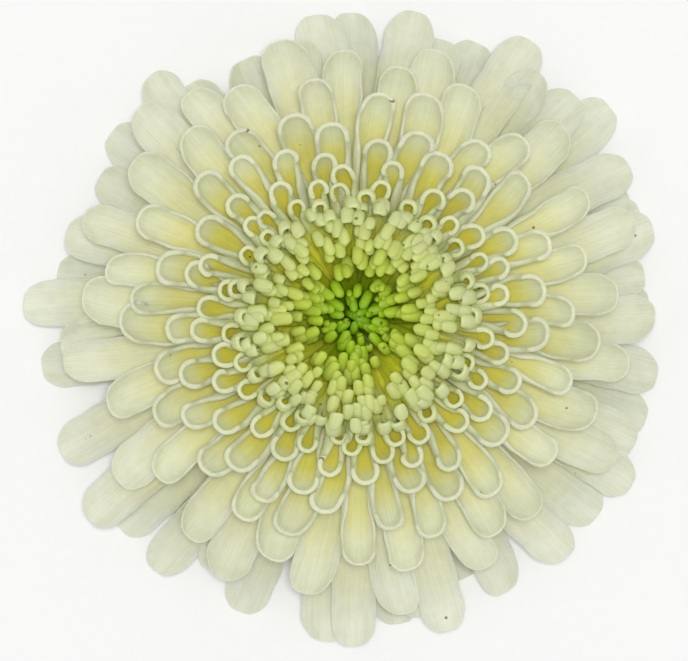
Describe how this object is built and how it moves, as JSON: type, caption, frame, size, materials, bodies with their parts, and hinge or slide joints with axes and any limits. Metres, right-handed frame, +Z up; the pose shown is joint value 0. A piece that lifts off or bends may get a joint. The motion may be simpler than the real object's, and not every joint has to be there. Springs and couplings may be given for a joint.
{
  "type": "disbud chrysanthemum bloom",
  "caption": "White disbud chrysanthemum bloom: a dome of spoon-shaped ray florets around a green centre, on a green involucre and a short cut stem.",
  "frame": {"origin": "under the middle of the bloom's outline, on the surface that the cut stem and the lowest petals rest on", "axes": "+Z up out of the bloom's face, +Y to the top of the picture and +X to its right"},
  "size_m": [0.1192, 0.1192, 0.0469],
  "materials": {
    "stem": null,
    "bract": null,
    "white_petal": null,
    "cream_petal": null,
    "green_petal": null
  },
  "bodies": {
    "root": {"stem": "stem", "involucre": "bract", "ray_florets": "white_petal", "quill_florets": "cream_petal", "centre_florets": "green_petal"}
  },
  "joints": []
}
